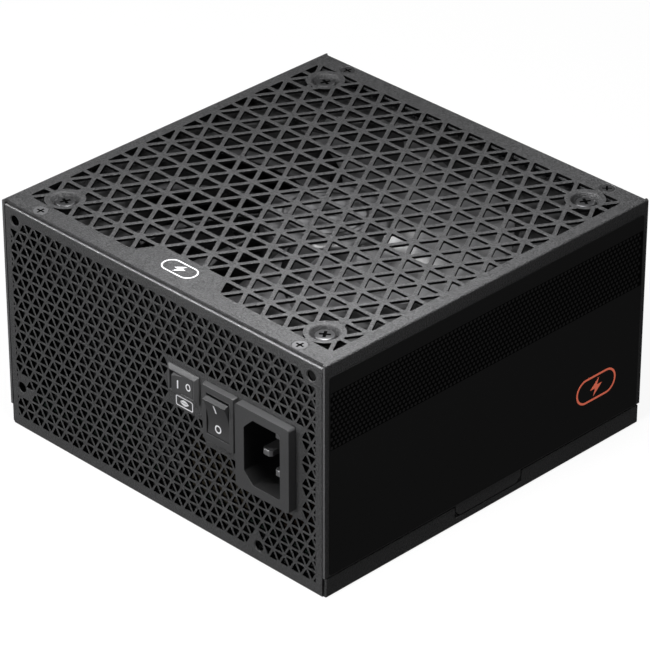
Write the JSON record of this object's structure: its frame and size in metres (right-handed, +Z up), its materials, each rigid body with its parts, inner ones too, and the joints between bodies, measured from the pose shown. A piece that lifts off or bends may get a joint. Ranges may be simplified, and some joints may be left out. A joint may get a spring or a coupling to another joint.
{
  "type": "power supply unit",
  "caption": "Boxy PC power supply: perforated steel case with a fan under the top grille, mains inlet, power rocker and eco rocker on one end, and modular sockets on the other.",
  "frame": {"origin": "centre of the case's underside", "axes": "+Z up through the fan grille, +Y towards the modular output sockets, -Y towards the mains inlet, +X to the right seen from the mains end"},
  "size_m": [0.1504, 0.1547, 0.0862],
  "materials": {
    "powder_coated_steel": "fine-grained matte black powder coat on steel sheet",
    "printed_film": "satin black printed film",
    "light_print": "pale printed label",
    "bright_steel": "zinc and nickel plated steel",
    "black_steel": "black oxide",
    "fan_frame_plastic": "moulded",
    "fan_blade_plastic": "satin moulded",
    "ferrite": "sintered ferrite",
    "bronze": "sintered bronze",
    "copper_winding": "enamelled copper wire",
    "black_plastic": "moulded, fine grain",
    "circuit_board": "green solder mask",
    "insulating_sheet": "translucent polyester sheet",
    "aluminium": "extruded",
    "yellow_tape": "polyester tape",
    "capacitor_sleeve": "shrink sleeve"
  },
  "bodies": {
    "case": {"board_screw_1": "bright_steel", "board_screw_2": "bright_steel", "board_screw_3": "bright_steel", "board_screw_4": "bright_steel", "bottom_tray": "powder_coated_steel", "bridge_rectifier": "black_plastic", "bulk_capacitor_1": "capacitor_sleeve", "bulk_capacitor_2": "capacitor_sleeve", "cover_screw_1": "bright_steel", "cover_screw_2": "bright_steel", "cover_screw_3": "black_steel", "cover_screw_4": "black_steel", "cpu_socket_1": "black_plastic", "cpu_socket_2": "black_plastic", "dc_dc_board": "circuit_board", "earth_blade": "bright_steel", "eco_switch_frame": "black_plastic", "emi_choke_1": "copper_winding", "emi_choke_2": "copper_winding", "fan_bearing": "bronze", "fan_frame": "fan_frame_plastic", "fan_lead": "black_plastic", "fan_screw_1": "bright_steel", "fan_screw_2": "bright_steel", "fan_screw_3": "bright_steel", "fan_screw_4": "bright_steel", "fan_stator": "copper_winding", "graphics_socket_1": "black_plastic", "graphics_socket_2": "black_plastic", "graphics_socket_3": "black_plastic", "inlet_housing": "black_plastic", "inrush_relay": "black_plastic", "insulation_sheet": "insulating_sheet", "line_blade": "bright_steel", "main_board": "circuit_board", "main_transformer": "yellow_tape", "modular_board": "circuit_board", "motherboard_socket_10": "black_plastic", "motherboard_socket_18": "black_plastic", "neutral_blade": "bright_steel", "output_capacitor_1": "capacitor_sleeve", "output_capacitor_2": "capacitor_sleeve", "peripheral_socket_1": "black_plastic", "peripheral_socket_2": "black_plastic", "pfc_inductor": "copper_winding", "power_switch_frame": "black_plastic", "primary_heatsink": "aluminium", "secondary_heatsink": "aluminium", "side_film_left": "printed_film", "side_film_right": "printed_film", "standby_transformer": "yellow_tape", "top_badge": "light_print", "top_cover": "powder_coated_steel", "x_capacitor": "yellow_tape"},
    "fan_rotor": {"fan_rotor": "fan_blade_plastic", "fan_hub_label": "light_print", "rotor_magnet": "ferrite", "fan_shaft": "bright_steel"},
    "power_rocker": {"power_rocker": "black_plastic"},
    "eco_rocker": {"eco_rocker": "black_plastic"}
  },
  "joints": [
    {"name": "fan_spin", "type": "hinge", "parent": "case", "child": "fan_rotor", "pos_m": [0, 0, 0.07], "axis": [0, 0, 1], "continuous": true},
    {"name": "power_rock", "type": "hinge", "parent": "case", "child": "power_rocker", "pos_m": [0.0291, -0.075, 0.0479], "axis": [-1, 0, 0], "range_deg": [0, 18]},
    {"name": "eco_rock", "type": "hinge", "parent": "case", "child": "eco_rocker", "pos_m": [0.01175, -0.0723, 0.05275], "axis": [0, 0, -1], "range_deg": [0, 26]}
  ]
}
